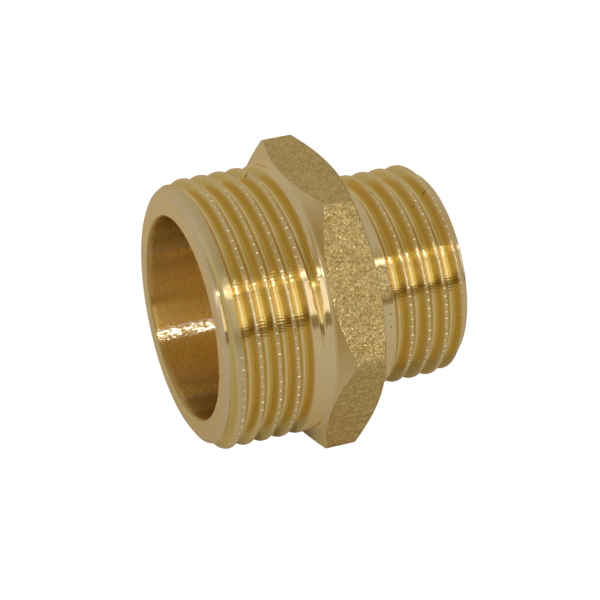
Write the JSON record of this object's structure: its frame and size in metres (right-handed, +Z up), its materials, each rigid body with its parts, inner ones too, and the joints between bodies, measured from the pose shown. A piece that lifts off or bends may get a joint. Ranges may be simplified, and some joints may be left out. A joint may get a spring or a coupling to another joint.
{
  "type": "reducing hex nipple",
  "caption": "Brass reducing hex nipple: a hexagonal spanner section between a larger and a smaller male parallel pipe thread, with a stepped flow bore right through.",
  "frame": {"origin": "on the bore axis, midway between the two end faces", "axes": "+X runs along the bore axis from the large threaded end to the small threaded end; +Z is up, square to two opposite flats of the hexagon; +Y points through a corner of the hexagon"},
  "size_m": [0.026, 0.0308, 0.027],
  "materials": {
    "brass": "bright turned threads, ends and bore; matte blasted hexagon flats"
  },
  "bodies": {
    "root": {"hex_nipple": "brass"}
  },
  "joints": []
}
